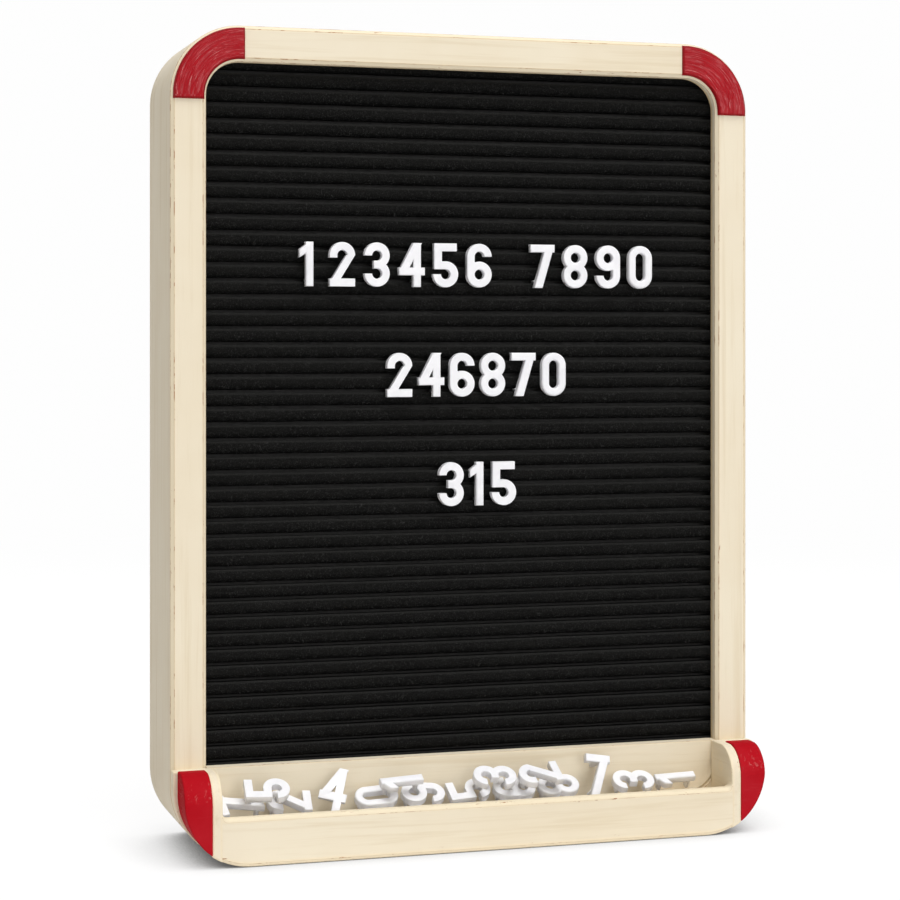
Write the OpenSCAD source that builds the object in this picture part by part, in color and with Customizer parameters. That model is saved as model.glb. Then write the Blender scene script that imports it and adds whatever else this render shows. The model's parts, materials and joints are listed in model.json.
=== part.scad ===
// Grooved felt letter board in a rounded wooden frame, with a tray for spare characters
// Origin at the middle of the base: X to the right, Y to the rear, Z up

/* [Frame] */
// Overall width of the frame
board_w = 245; // [200:1:320]
// Overall height of the frame
board_h = 327; // [260:1:420]
// Depth of the frame from its face to its rear edge
frame_d = 50; // [42:1:60]
// Width of the frame's face, seen from the front
face_w = 14.2; // [12:0.1:18]
// Depth from the frame's face to the felt
recess_d = 5.3; // [4.9:0.1:9]
// Thickness of the frame's side wall behind the face
wall_t = 8; // [7:0.5:9]
// Radius of the frame's outer corners
corner_r = 28; // [26:1:34]
// Straight stub at each end of a corner block
corner_stub = 1.5; // [1:0.5:5]
// Rounding of the front edges
edge_r = 1.5; // [0.5:0.25:2.5]
// Rounding of the rear outer edge
rear_edge_r = 1; // [0.5:0.25:2]
// Diameter of the dowels in the corner joints
frame_dowel_d = 4; // [3:0.5:4.5]
// Length of the dowels in the corner joints
frame_dowel_l = 16; // [12:1:18]

/* [Red corners] */
// Thickness of the red corner inlays
inlay_t = 1.2; // [0.8:0.1:2]
// Border left between an inlay and the outer edge
inlay_outer_border = 1.4; // [1:0.1:3]
// Border left between an inlay and the inner edge
inlay_inner_border = 0.7; // [0.5:0.1:2]
// Rounding of the inlay's front edges
inlay_edge_r = 0.9; // [0.4:0.1:1]

/* [Tray] */
// How far the tray stands out in front of the frame's face
tray_reach = 22; // [18:1:32]
// Height of the tray's front panel
tray_front_h = 19.2; // [16:0.2:24]
// Thickness of the tray's front panel
tray_front_t = 5; // [4:0.5:6]
// Thickness of the tray's floor
tray_floor_t = 8; // [5:0.5:9]
// Height of the board behind the tray, and of the tray's ends
tray_back_h = 35.2; // [30:0.1:40]
// Radius of the nose on each tray end
nose_r = 12; // [8:0.5:14]
// Distance from the frame's side to a cheek's inner face
cheek_in = 16.4; // [15:0.1:18]
// Distance from the frame's side to a red end block's inner face
block_in = 12.4; // [12:0.1:13]
// Distance from the frame's side to a red end block's outer face
block_out = 1.6; // [0.5:0.1:2.5]
// Depth of the cream strip between the frame's face and a red end block
cheek_strip_d = 5.5; // [4:0.5:7]
// How far a red end block stands proud of its cheek
block_proud = 0.4; // [0.2:0.1:0.8]
// Diameter of the dowels in the tray
tray_dowel_d = 3; // [2:0.5:3]
// Length of the dowels from the front panel into the end blocks
panel_dowel_l = 11; // [9:0.5:12]
// Length of the dowels from the cheeks into the frame
cheek_dowel_l = 8; // [7:0.5:8]
// Length of the pins between the cheeks and the end blocks
block_pin_l = 6; // [4:0.5:6]
// Length of the tray that its heap of characters leaves free
tray_free_l = 9; // [6:1:60]

/* [Grooved board] */
// Distance from one groove to the next
groove_pitch = 6.35; // [6:0.05:7]
// Width of a groove between the felt faces
groove_w = 1.6; // [1.4:0.1:1.8]
// Depth of a groove
groove_d = 5; // [4.6:0.1:5.5]
// Thickness of the felt
felt_t = 0.6; // [0.4:0.1:0.8]
// Rounding of the felt slats' front edges
slat_r = 1.3; // [1:0.1:1.8]
// Height of the lowest visible groove above the board behind the tray
first_groove = 1.3; // [1:0.1:2]
// Thickness of the board that carries the slats
groove_board_t = 4; // [3:0.5:6]
// Width of the battens between the grooved board and the back panel
batten_w = 8; // [7:0.5:12]

/* [Back] */
// Thickness of the back panel
back_t = 3.2; // [2.5:0.1:4]
// Radius of the panel screws' shanks
screw_r = 1.3; // [1:0.1:1.5]
// Radius of the panel screws' heads
screw_head_r = 2.8; // [2.2:0.1:3]
// Length of the panel screws
screw_l = 14; // [10:1:16]
// Thickness of the hanging plates
hanger_t = 1.5; // [1.2:0.1:2]
// Width of the hanging plates
hanger_w = 18; // [16:1:22]
// Length of the hanging plates
hanger_l = 44; // [42:1:50]
// Distance of the hanging plates from the middle
hanger_x = 70; // [40:1:80]
// Distance from the top of the frame to the hanging plates' entry holes
hanger_drop = 52; // [48:1:70]
// Radius of the entry hole in a hanging plate
keyhole_r = 4.5; // [4:0.1:5]
// Radius of the narrow end of a keyhole
keyhole_slot_r = 2.2; // [1.8:0.1:2.6]
// Length of the slot above the entry hole
keyhole_slot_l = 12; // [9:0.5:13]

/* [Characters] */
// Height of a character
char_h = 17.8; // [16:0.2:18.4]
// Width of the strokes
stroke = 3.2; // [3:0.1:3.6]
// Thickness of a character
char_t = 3; // [2:0.1:3.2]
// Length of the prongs on a character's back
prong_l = 4; // [3:0.1:4.2]
// Thickness of a prong
prong_t = 1.2; // [0.8:0.1:1.2]
// Width of a prong
prong_w = 2.6; // [2:0.1:2.8]

/* [Clearances] */
// Gap round a dowel or a screw
pin_gap = 0.05; // [0.02:0.01:0.1]
// Gap left for glue between curved faces
glue_gap = 0.1; // [0.05:0.05:0.2]
// Gap between the felt and what lies in front of it
felt_gap = 0.3; // [0.2:0.05:0.4]
// Gap between the frame's walls and the panels inside it
panel_gap = 0.4; // [0.2:0.1:0.6]
// Gap between a loose character and what it rests on
rest_gap = 0.1; // [0.05:0.05:0.3]
// Gap between loose characters side by side
heap_gap = 0.6; // [0.4:0.1:2]

/* [Hidden] */
// Curves
$fn = 96;
// Length of a dowel's hole beyond the dowel, and of a cutting shape beyond what it cuts
hole_end = 1;
over = 1;

// The frame lies behind the tray, and the whole depth is centred on the origin
front_y = -(frame_d + tray_reach) / 2;
face_y = front_y + tray_reach;
rear_y = face_y + frame_d;
felt_y = face_y + recess_d;

// Corner blocks
block_w = corner_r + corner_stub;
stile_l = board_h - 2 * block_w;
rail_l = board_w - 2 * block_w;
dowel_depths = [frame_d * 0.34, frame_d * 0.8];

// Grooved board
slat_h = groove_pitch - groove_w;
groove_floor_y = felt_y + groove_d;
groove_board_back_y = groove_floor_y + groove_board_t;
panel_x = board_w / 2 - wall_t - panel_gap;
panel_z0 = wall_t + panel_gap;
panel_z1 = board_h - wall_t - panel_gap;
panel_r = corner_r - wall_t - panel_gap;
groove_0_z = tray_back_h + first_groove;
first_slat = ceil((panel_z0 - groove_w / 2 - groove_0_z) / groove_pitch);
last_slat = floor((panel_z1 + groove_w / 2 - groove_0_z) / groove_pitch) - 1;

// Back
hanger_y = rear_y - hanger_t;
back_y = hanger_y - back_t;
hanger_z = board_h - hanger_drop;
keyhole_lift = keyhole_slot_l / 2;
hanger_screw_offset = hanger_l / 2 - 4;
hanger_screw_r = 1.2;
hanger_screw_head_r = 2.2;
hanger_screw_head_t = 0.7;
hanger_screw_l = hanger_t + back_t + 1;
screw_head_t = screw_head_r - screw_r;
keyhole_room = 1;

// Middle lines of the battens: x and z of the uprights and the cross pieces
batten_x = panel_x - batten_w / 2;
batten_zs = [panel_z0 + batten_w / 2, panel_z1 - batten_w / 2];
batten_ul = panel_z1 - panel_z0 - 2 * panel_r;
batten_cl = 2 * (panel_x - panel_r);
screw_end_l = 15;
screw_places = concat(
    [for (sx = [-1, 1], sz = [-1, 0, 1]) [sx * batten_x, board_h / 2 + sz * (batten_ul / 2 - screw_end_l)]],
    [for (sx = [-1, 1], z = batten_zs) [sx * batten_cl / 4, z]]
);

// Tray
cheek_front_y = front_y + block_proud;
tray_back_y = felt_y - felt_gap;
cavity_front_y = cheek_front_y + tray_front_t;
tray_x = board_w / 2 - cheek_in;
end_x = board_w / 2 - block_in;
panel_dowel_zs = [tray_front_h * 0.6, tray_front_h * 0.86];
// Places of the dowels and pins: height, distance from the frame's side, from the top, behind the strip
cheek_dowel_zs = [18.5, 26.5];
cheek_dowel_in = 8.5;
block_pin_drop = 9;
block_pin_d = 4.5;
block_pin_z = tray_back_h - block_pin_drop;
block_pin_y = face_y - cheek_strip_d - block_pin_d;

// Characters: each digit is drawn on two stacked rings, one stroke shared
ring_r = (char_h + stroke) / 4;
ring_z = (char_h - stroke) / 4;
half_h = char_h / 2;
mid_x = ring_r - stroke / 2;
mid_z = half_h - stroke / 2;
// Level width of a sloping stroke
slant_w = stroke * 1.14;
// Depth to which the prongs run into a character
prong_root = 0.5;
// Middle of the foot of a 1, a 4 and a 7, the flag of a 1, and the end of a 4's bar
foot_1 = 1;
foot_4 = 2.4;
foot_7 = -1.8;
flag_1 = 3.2;
bar_4 = 0.4;
char_back_y = felt_y - felt_gap;
char_board_x = 4;

// Character rows: height in grooves above the lowest one, step from one character to the next
row_grooves = [31, 24, 17];
row_steps = [14.4, 13.2, 11.2];
row_texts = [[1, 2, 3, 4, 5, 6, -1, 7, 8, 9, 0], [2, 4, 6, 8, 7, 0], [3, 1, 5]];
// A blank between two groups is wider than a character
row_blank = 12.9;

// Where the prongs sit on each digit: upper and lower, left or right of its middle
prong_x = [
    for (n = [0 : 9])
        n == 1 ? [foot_1, foot_1] : n == 4 ? [foot_4, foot_4] : n == 7 ? [0, -1.5] : [0, 0]
];

// Loose characters: [digit, [x, y, height of its back], [spin on its back, lean, turn]]
// y is measured from the middle of the tray's cavity and the height from its floor
half_cavity = (face_y - cavity_front_y) / 2;
// A point of a character after its spin, lean and turn
function turned(p, r) =
    let (
        a = [p[0] * cos(r[0]) - p[1] * sin(r[0]), p[0] * sin(r[0]) + p[1] * cos(r[0]), p[2]],
        b = [a[0], a[1] * cos(r[1]) - a[2] * sin(r[1]), a[1] * sin(r[1]) + a[2] * cos(r[1])]
    )
    [b[0] * cos(r[2]) - b[1] * sin(r[2]), b[0] * sin(r[2]) + b[1] * cos(r[2]), b[2]];
// Corners of the box round a character, and of its prongs' ends
function corners(n) = concat(
    [for (x = [-digit_left(n), digit_right(n)], y = [-half_h, half_h], z = [0, char_t]) [x, y, z]],
    [for (i = [0, 1], sx = [-1, 1], sy = [-1, 1])
        [prong_x[n][i] + sx * prong_w / 2, (0.5 - i) * 2 * groove_pitch + sy * prong_t / 2, -prong_l]]
);
function least(n, r, axis) = min([for (c = corners(n)) turned(c, r)[axis]]);
function most(n, r, axis) = max([for (c = corners(n)) turned(c, r)[axis]]);
// Pieces of a layer lie side by side from the tray's left end: [digit, [spin, lean, turn]]
function span(e) = most(e[0], e[1], 0) - least(e[0], e[1], 0) + heap_gap;
function run_end(run, i) = i < 0 ? -tray_x : run_end(run, i - 1) + span(run[i]);
function run_x(run, i) = run_end(run, i - 1) + heap_gap - least(run[i][0], run[i][1], 0);
function fitting(run) = [for (i = [0 : len(run) - 1]) if (run_end(run, i) <= tray_x - tray_free_l) i];

// The lower layer stands on its prongs
lower_h = prong_l + rest_gap;
lower_run = [
    [8, [92, 0, 0]],
    [5, [86, 0, 0]],
    [3, [94, 0, 0]],
    [0, [90, 0, 0]],
    [9, [86, 0, 0]],
    [2, [94, 0, 0]],
    [6, [88, 0, 0]],
    [4, [92, 0, 0]],
    [3, [91, 0, 0]],
    [1, [90, 0, 0]]
];
lower = [for (i = fitting(lower_run)) [lower_run[i][0], [run_x(lower_run, i), 0, lower_h], lower_run[i][1]]];

// The upper layer leans against the wall, most of it at one slope
upper_h = lower_h + char_t + rest_gap;
slope = 34;
upper_run = [
    [7, [96, slope, 0]],
    [2, [85, slope, 0]],
    [4, [-14, 66, -8]],
    [0, [94, slope, 0]],
    [9, [84, slope, 0]],
    [5, [95, slope, 0]],
    [6, [86, slope, 0]],
    [8, [94, slope, 0]],
    [7, [-10, 62, 4]],
    [3, [86, slope, 0]],
    [1, [92, slope, 0]]
];
sloping = [for (e = upper_run) if (e[1][1] == slope) e];
slope_y = half_cavity - rest_gap - max([for (e = sloping) most(e[0], e[1], 1)]);
slope_h = upper_h - min([for (e = sloping) least(e[0], e[1], 2)]);
function upper_place(e, x) =
    e[1][1] == slope
        ? [x, slope_y, slope_h]
        : [x, half_cavity - rest_gap - most(e[0], e[1], 1), upper_h - least(e[0], e[1], 2)];
upper = [
    for (i = fitting(upper_run))
        [upper_run[i][0], upper_place(upper_run[i], run_x(upper_run, i)), upper_run[i][1]]
];

// A few lie on the sloping ones, each across two neighbours: [digit, spin, place of the left one]
step_out = prong_l + char_t + rest_gap;
top_list = [
    [5, 86, 0],
    [1, 94, 3],
    [3, 85, 5],
    [2, 95, 6]
];
top_y = slope_y - step_out * sin(slope);
top_h = slope_h + step_out * cos(slope);
function across(t) = [t[0], [run_end(upper_run, t[2]) + heap_gap / 2, top_y, top_h], [t[1], slope, 0]];
top = [for (t = top_list) if (len(fitting(upper_run)) > t[2] + 1) across(t)];
loose = concat(lower, upper, top);

function digit_name(r, i) = str("row", r + 1, "_place", i + 1);
function digit_left(n) = n == 1 ? flag_1 : ring_r;
function digit_right(n) = n == 1 ? foot_1 + stroke / 2 : n == 4 ? ring_r + bar_4 : ring_r;
function loose_count(n) = len([for (p = loose) if (p[0] == n) 1]);
function groove_z(k) = groove_0_z + k * groove_pitch;
function slat_end(z) =
    let (d = min(z - panel_z0, panel_z1 - z))
    d >= panel_r ? panel_x : panel_x - panel_r + sqrt(max(0, d * (2 * panel_r - d)));
// Width taken by place i of row r, and the sum of the widths before it
function place_w(r, i) = row_texts[r][i] < 0 ? row_blank : row_steps[r];
function places_before(r, i) = i <= 0 ? 0 : places_before(r, i - 1) + place_w(r, i - 1);
function row_w(r) = places_before(r, len(row_texts[r]));
function place_x(r, i) = char_board_x - row_w(r) / 2 + places_before(r, i) + place_w(r, i) / 2;

// Extrudes a drawing in X and Z from y0 back to y1
module upright(y0, y1) {
    translate([0, y1, 0]) rotate([90, 0, 0]) linear_extrude(y1 - y0) children();
}

// Extrudes a drawing in Y and Z from x0 to x1
module sideways(x0, x1) {
    translate([x0, 0, 0]) rotate([90, 0, 90]) linear_extrude(x1 - x0) children();
}

module round_rect(x, z0, z1, r) {
    translate([-x + r, z0]) square([2 * (x - r), z1 - z0]);
    translate([-x, z0 + r]) square([2 * x, z1 - z0 - 2 * r]);
    for (sx = [-1, 1], z = [z0 + r, z1 - r]) translate([sx * (x - r), z]) circle(r);
}

// Section of the frame: x from the outer edge inwards, y from the face to the rear
module stock_section() {
    translate([edge_r, 0]) square([face_w - 2 * edge_r, recess_d]);
    translate([0, edge_r]) square([face_w, recess_d - edge_r]);
    for (x = [edge_r, face_w - edge_r]) translate([x, edge_r]) circle(edge_r);
    translate([0, edge_r]) square([wall_t, frame_d - edge_r - rear_edge_r]);
    translate([rear_edge_r, edge_r]) square([wall_t - rear_edge_r, frame_d - edge_r]);
    translate([rear_edge_r, frame_d - rear_edge_r]) circle(rear_edge_r);
}

// Puts a bottom right corner, drawn about its arc's centre, at one of the four corners
module at_corner(sx, sz) {
    translate([sx * (board_w / 2 - corner_r), face_y, board_h / 2 + sz * (board_h / 2 - corner_r)])
        mirror([sx < 0 ? 1 : 0, 0, 0])
        mirror([0, 0, sz > 0 ? 1 : 0])
        children();
}

// Sweeps a section, drawn against its distance from the arc's centre, round one corner
module corner_sweep(stub) {
    rotate([-90, 0, 0]) rotate_extrude(angle = 90) children();
    linear_extrude(stub) children();
    rotate([0, 90, 0]) translate([0, 0, -stub]) linear_extrude(stub) children();
}

module corner_pins(r, l) {
    mid = corner_r - wall_t / 2;
    for (v = dowel_depths) {
        translate([mid, v, corner_stub]) cylinder(r = r, h = l, center = true);
        translate([-corner_stub, v, -mid]) rotate([0, 90, 0]) cylinder(r = r, h = l, center = true);
    }
}

module corner_pin_holes() {
    for (sx = [-1, 1], sz = [-1, 1]) at_corner(sx, sz)
        corner_pins(frame_dowel_d / 2 + pin_gap, frame_dowel_l + hole_end);
}

module frame_dowels() {
    color("burlywood")
    for (sx = [-1, 1], sz = [-1, 1]) at_corner(sx, sz) corner_pins(frame_dowel_d / 2, frame_dowel_l);
}

module stile(side) {
    color("antiquewhite") difference() {
        mirror([side < 0 ? 1 : 0, 0, 0]) translate([board_w / 2, face_y, block_w])
            linear_extrude(stile_l) mirror([1, 0]) stock_section();
        corner_pin_holes();
        cheek_pin_holes();
    }
}

module rail(top) {
    color("antiquewhite") difference() {
        translate([0, face_y, top * board_h]) mirror([0, 0, top]) rotate([0, -90, 0])
            linear_extrude(rail_l, center = true) stock_section();
        corner_pin_holes();
    }
}

module corner_block(sx, sz) {
    color("antiquewhite") difference() {
        at_corner(sx, sz) corner_sweep(corner_stub) translate([corner_r, 0]) mirror([1, 0]) stock_section();
        corner_pin_holes();
        cheek_pin_holes();
    }
}

// Section of a red inlay: x is the distance from the arc's centre, y the depth behind the face
module inlay_section() {
    r0 = corner_r - face_w + inlay_inner_border;
    r1 = corner_r - inlay_outer_border;
    translate([r0, inlay_edge_r - inlay_t]) square([r1 - r0, inlay_t - inlay_edge_r]);
    translate([r0 + inlay_edge_r, -inlay_t]) square([r1 - r0 - 2 * inlay_edge_r, inlay_t]);
    intersection() {
        for (x = [r0 + inlay_edge_r, r1 - inlay_edge_r])
            translate([x, inlay_edge_r - inlay_t]) circle(inlay_edge_r);
        translate([r0, -inlay_t]) square([r1 - r0, inlay_t]);
    }
}

module corner_inlay(sx) {
    color("firebrick") at_corner(sx, 1) corner_sweep(corner_stub) inlay_section();
}

// Outline of the frame seen from the front
module frame_outline() {
    round_rect(board_w / 2, 0, board_h, corner_r);
}

module tray_back() {
    x = board_w / 2 - face_w - glue_gap;
    z0 = face_w + glue_gap;
    r = corner_r - face_w - glue_gap;
    color("antiquewhite") upright(face_y, tray_back_y) {
        translate([-x + r, z0]) square([2 * (x - r), tray_back_h - z0]);
        translate([-x, z0 + r]) square([2 * x, tray_back_h - z0 - r]);
        for (s = [-1, 1]) translate([s * (x - r), z0 + r]) intersection() {
            circle(r);
            translate([-r, -r]) square([2 * r, r]);
        }
    }
}

// A board of the tray between its two cheeks, cut to the frame's round corners
module tray_board(y0, y1, h) {
    upright(y0, y1) intersection() {
        frame_outline();
        translate([-tray_x, 0]) square([2 * tray_x, h]);
    }
}

module tray_floor() {
    color("antiquewhite") tray_board(cavity_front_y, face_y, tray_floor_t);
}

module tray_front() {
    color("antiquewhite") difference() {
        tray_board(cheek_front_y, cavity_front_y, tray_front_h);
        panel_pin_holes();
    }
}

// Side view of a tray end whose front is at y0
module nose_profile(y0, z1, y1) {
    translate([y0, 0]) square([y1 - y0, z1 - nose_r]);
    translate([y0 + nose_r, 0]) square([y1 - y0 - nose_r, z1]);
    translate([y0 + nose_r, z1 - nose_r]) intersection() {
        circle(nose_r);
        translate([-nose_r, 0]) square(nose_r);
    }
}

module cheek_body() {
    intersection() {
        union() {
            sideways(tray_x, end_x) nose_profile(cheek_front_y, tray_back_h, face_y);
            sideways(tray_x, board_w / 2)
                translate([face_y - cheek_strip_d, 0]) square([cheek_strip_d, tray_back_h]);
        }
        upright(front_y - over, rear_y) frame_outline();
    }
}

module cheek(side) {
    color("antiquewhite") difference() {
        mirror([side < 0 ? 1 : 0, 0, 0]) cheek_body();
        cheek_pin_holes();
        panel_pin_holes();
        block_pin_holes();
    }
}

module end_block(side) {
    outer = board_w / 2 - block_out;
    color("firebrick") difference() {
        mirror([side < 0 ? 1 : 0, 0, 0]) intersection() {
            sideways(end_x, outer)
                nose_profile(front_y, tray_back_h + block_proud, face_y - cheek_strip_d);
            upright(front_y - over, rear_y) round_rect(outer, 0, board_h, corner_r - block_out);
        }
        panel_pin_holes();
        block_pin_holes();
    }
}

module cheek_pins(r, l) {
    for (s = [-1, 1], z = cheek_dowel_zs)
        translate([s * (board_w / 2 - cheek_dowel_in), face_y, z]) rotate([90, 0, 0])
            cylinder(r = r, h = l, center = true);
}

module panel_pins(r, l) {
    for (s = [-1, 1], z = panel_dowel_zs)
        translate([s * (tray_x + end_x) / 2, cheek_front_y + tray_front_t / 2, z]) rotate([0, 90, 0])
            cylinder(r = r, h = l, center = true);
}

module block_pins(r, l) {
    for (s = [-1, 1])
        translate([s * end_x, block_pin_y, block_pin_z]) rotate([0, 90, 0])
            cylinder(r = r, h = l, center = true);
}

module cheek_pin_holes() {
    cheek_pins(tray_dowel_d / 2 + pin_gap, cheek_dowel_l + hole_end);
}

module panel_pin_holes() {
    panel_pins(tray_dowel_d / 2 + pin_gap, panel_dowel_l + hole_end);
}

module block_pin_holes() {
    block_pins(tray_dowel_d / 2 + pin_gap, block_pin_l + hole_end);
}

module tray_dowels() {
    color("burlywood") {
        cheek_pins(tray_dowel_d / 2, cheek_dowel_l);
        panel_pins(tray_dowel_d / 2, panel_dowel_l);
        block_pins(tray_dowel_d / 2, block_pin_l);
    }
}

module groove_board() {
    color("dimgray") upright(groove_floor_y, groove_board_back_y)
        round_rect(panel_x, panel_z0, panel_z1, panel_r);
}

// Side view of one slat with rounded front edges, from its lower edge up
module slat_section(front, h, r) {
    translate([front + r, 0]) square([groove_floor_y - front - r, h]);
    translate([front, r]) square([r, h - 2 * r]);
    for (z = [r, h - r]) translate([front + r, z]) circle(r);
}

module core_section(gap) {
    translate([0, felt_t + gap])
        slat_section(felt_y + felt_t + gap, slat_h - 2 * (felt_t + gap), slat_r - felt_t - gap);
}

// Draws a section as a slat at every place on the board
module at_slats(trim) {
    for (k = [first_slat : last_slat]) {
        z = groove_z(k) + groove_w / 2;
        x = min(slat_end(z), slat_end(z + slat_h)) - trim;
        translate([0, 0, z]) sideways(-x, x) children();
    }
}

module slat_cores() {
    color("tan") at_slats(0) core_section(pin_gap);
}

module felt_covers() {
    color("#171716") at_slats(0) difference() {
        slat_section(felt_y, slat_h, slat_r);
        core_section(0);
    }
}

module spacer_battens() {
    color("tan") difference() {
        upright(groove_board_back_y, back_y) {
            for (s = [-1, 1])
                translate([s * batten_x - batten_w / 2, (board_h - batten_ul) / 2])
                    square([batten_w, batten_ul]);
            for (z = batten_zs)
                translate([-batten_cl / 2, z - batten_w / 2]) square([batten_cl, batten_w]);
        }
        screw_shanks(screw_r + pin_gap, screw_l + hole_end);
    }
}

module screw_shanks(r, l) {
    for (p = screw_places)
        translate([p[0], hanger_y, p[1]]) rotate([90, 0, 0]) cylinder(r = r, h = l);
}

module screw_heads(gap) {
    for (p = screw_places)
        translate([p[0], hanger_y, p[1]]) rotate([90, 0, 0])
            cylinder(r1 = screw_head_r + gap, r2 = screw_r + gap, h = screw_head_t);
}

module back_screws() {
    color("silver") {
        screw_shanks(screw_r, screw_l);
        screw_heads(0);
    }
}

// Outline of a keyhole, drawn about its entry hole
module keyhole_outline(r, slot_r, slot_l) {
    circle(r);
    translate([-slot_r, 0]) square([2 * slot_r, slot_l]);
    translate([0, slot_l]) circle(slot_r);
}

// Opening behind a keyhole, for the head of the nail
module keyhole_opening() {
    x = keyhole_r + keyhole_room;
    translate([-x, -x]) square([2 * x, x + keyhole_slot_l + keyhole_slot_r + keyhole_room]);
}

module at_hangers() {
    for (s = [-1, 1]) translate([s * hanger_x, 0, hanger_z]) children();
}

module back_panel() {
    color("peru") difference() {
        upright(back_y, hanger_y) round_rect(panel_x, panel_z0, panel_z1, panel_r);
        screw_shanks(screw_r + pin_gap, screw_l);
        screw_heads(pin_gap);
        at_hangers() upright(back_y - over, hanger_y + over) keyhole_opening();
        hanger_screw_places() hanger_screw_shank(hanger_screw_r + pin_gap);
    }
}

module hanger_screw_places() {
    for (sx = [-1, 1], sz = [-1, 1])
        translate([sx * hanger_x, rear_y, hanger_z + keyhole_lift + sz * hanger_screw_offset]) children();
}

module hanger_screw_shank(r) {
    rotate([90, 0, 0]) cylinder(r = r, h = hanger_screw_l);
}

module hanger_screw_head(gap) {
    rotate([90, 0, 0])
        cylinder(r1 = hanger_screw_head_r + gap, r2 = hanger_screw_r + gap, h = hanger_screw_head_t + gap);
}

module hanger(side) {
    color("silver") difference() {
        translate([side * hanger_x, 0, hanger_z]) upright(hanger_y, rear_y) difference() {
            translate([0, keyhole_lift]) union() {
                square([hanger_w, hanger_l - hanger_w], center = true);
                for (s = [-1, 1]) translate([0, s * (hanger_l - hanger_w) / 2]) circle(hanger_w / 2);
            }
            keyhole_outline(keyhole_r, keyhole_slot_r, keyhole_slot_l);
        }
        hanger_screw_places() {
            hanger_screw_shank(hanger_screw_r + pin_gap);
            hanger_screw_head(pin_gap);
        }
    }
}

module hanger_screws() {
    color("gainsboro") hanger_screw_places() {
        hanger_screw_shank(hanger_screw_r);
        hanger_screw_head(0);
    }
}

module ring() {
    difference() {
        circle(ring_r);
        circle(ring_r - stroke);
    }
}

// The upper half of a ring
module arch() {
    intersection() {
        ring();
        translate([-ring_r, 0]) square([2 * ring_r, ring_r]);
    }
}

// A ring without the quarter that starts at an angle
module open_ring(angle) {
    difference() {
        ring();
        rotate(angle) square(ring_r + over);
    }
}

// An upright stroke with its middle at x
module stem(x, y0, y1) {
    translate([x - stroke / 2, y0]) square([stroke, y1 - y0]);
}

// A level stroke with its middle at y
module beam(y, x0, x1) {
    translate([x0, y - stroke / 2]) square([x1 - x0, stroke]);
}

// A sloping stroke of level width w, from the middle of its top to the middle of its foot
module slant(a, b, w) {
    polygon([[a[0] - w / 2, a[1]], [a[0] + w / 2, a[1]], [b[0] + w / 2, b[1]], [b[0] - w / 2, b[1]]]);
}

module glyph(n) {
    if (n == 0) {
        translate([0, ring_z]) arch();
        translate([0, -ring_z]) rotate(180) arch();
        for (s = [-1, 1]) stem(s * mid_x, -ring_z, ring_z);
    }
    if (n == 1) {
        stem(foot_1, -half_h, half_h);
        polygon([[foot_1, half_h], [-flag_1, half_h - 3], [-flag_1, half_h - 6.4], [foot_1, half_h - 4]]);
    }
    if (n == 2) {
        translate([0, ring_z]) arch();
        stem(-mid_x, ring_z - 1, ring_z);
        slant([ring_r - slant_w / 2, ring_z], [-ring_r + slant_w / 2, -half_h + stroke / 2], slant_w);
        beam(-mid_z, -ring_r, ring_r);
    }
    if (n == 3) {
        translate([0, ring_z]) open_ring(180);
        translate([0, -ring_z]) open_ring(90);
        beam(0, -1.4, 0.5);
    }
    if (n == 4) {
        stem(foot_4, -half_h, half_h);
        slant([foot_4 - stroke / 2 + slant_w / 2, half_h], [-ring_r + slant_w / 2, -2.6], slant_w);
        beam(-2.6, -ring_r, ring_r + bar_4);
    }
    if (n == 5) {
        beam(mid_z, -ring_r + 0.4, mid_x + 1);
        stem(-mid_x + 0.4, -stroke / 2, half_h);
        beam(0, -mid_x, 0.5);
        translate([0, -ring_z]) open_ring(90);
    }
    if (n == 6 || n == 9) rotate(n == 6 ? 0 : 180) {
        translate([0, -ring_z]) ring();
        stem(-mid_x, -ring_z, ring_z);
        translate([0, ring_z]) arch();
    }
    if (n == 7) {
        beam(mid_z, -ring_r, ring_r);
        slant([ring_r - slant_w / 2, half_h], [foot_7, -half_h], slant_w);
    }
    if (n == 8) for (s = [-1, 1]) translate([0, s * ring_z]) ring();
}

// A character lying on its back: its prongs reach down from z = 0
module character(n) {
    linear_extrude(char_t) glyph(n);
    for (i = [0, 1])
        translate([prong_x[n][i] - prong_w / 2, (0.5 - i) * 2 * groove_pitch - prong_t / 2, -prong_l])
            cube([prong_w, prong_t, prong_l + prong_root]);
}

module board_character(r, i) {
    color("white") translate([place_x(r, i), char_back_y, groove_z(row_grooves[r])])
        rotate([90, 0, 0]) character(row_texts[r][i]);
}

module loose_character(p) {
    translate([p[1][0], cavity_front_y + half_cavity + p[1][1], tray_floor_t + p[1][2]])
        rotate([0, 0, p[2][2]]) rotate([p[2][1], 0, 0]) rotate([0, 0, p[2][0]]) character(p[0]);
}

module loose_characters(n) {
    color("white") for (p = loose) if (p[0] == n) loose_character(p);
}

stile(-1);  // left_stile
stile(1);  // right_stile
rail(1);  // top_rail
rail(0);  // bottom_rail
corner_block(-1, 1);  // top_left_corner
corner_block(1, 1);  // top_right_corner
corner_block(-1, -1);  // bottom_left_corner
corner_block(1, -1);  // bottom_right_corner
frame_dowels();
corner_inlay(-1);  // left_corner_inlay
corner_inlay(1);  // right_corner_inlay
tray_back();
tray_floor();
tray_front();
cheek(-1);  // left_cheek
cheek(1);  // right_cheek
end_block(-1);  // left_end_block
end_block(1);  // right_end_block
tray_dowels();
groove_board();
slat_cores();
felt_covers();
spacer_battens();
back_panel();
back_screws();
hanger(-1);  // left_hanger
hanger(1);  // right_hanger
hanger_screws();
for (r = [0 : 2], i = [0 : len(row_texts[r]) - 1]) if (row_texts[r][i] >= 0)
    board_character(r, i);
for (n = [0 : 9]) if (loose_count(n) > 0)
    loose_characters(n);
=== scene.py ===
import json
import math

import bmesh
import bpy
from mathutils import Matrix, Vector, kdtree, noise

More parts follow.
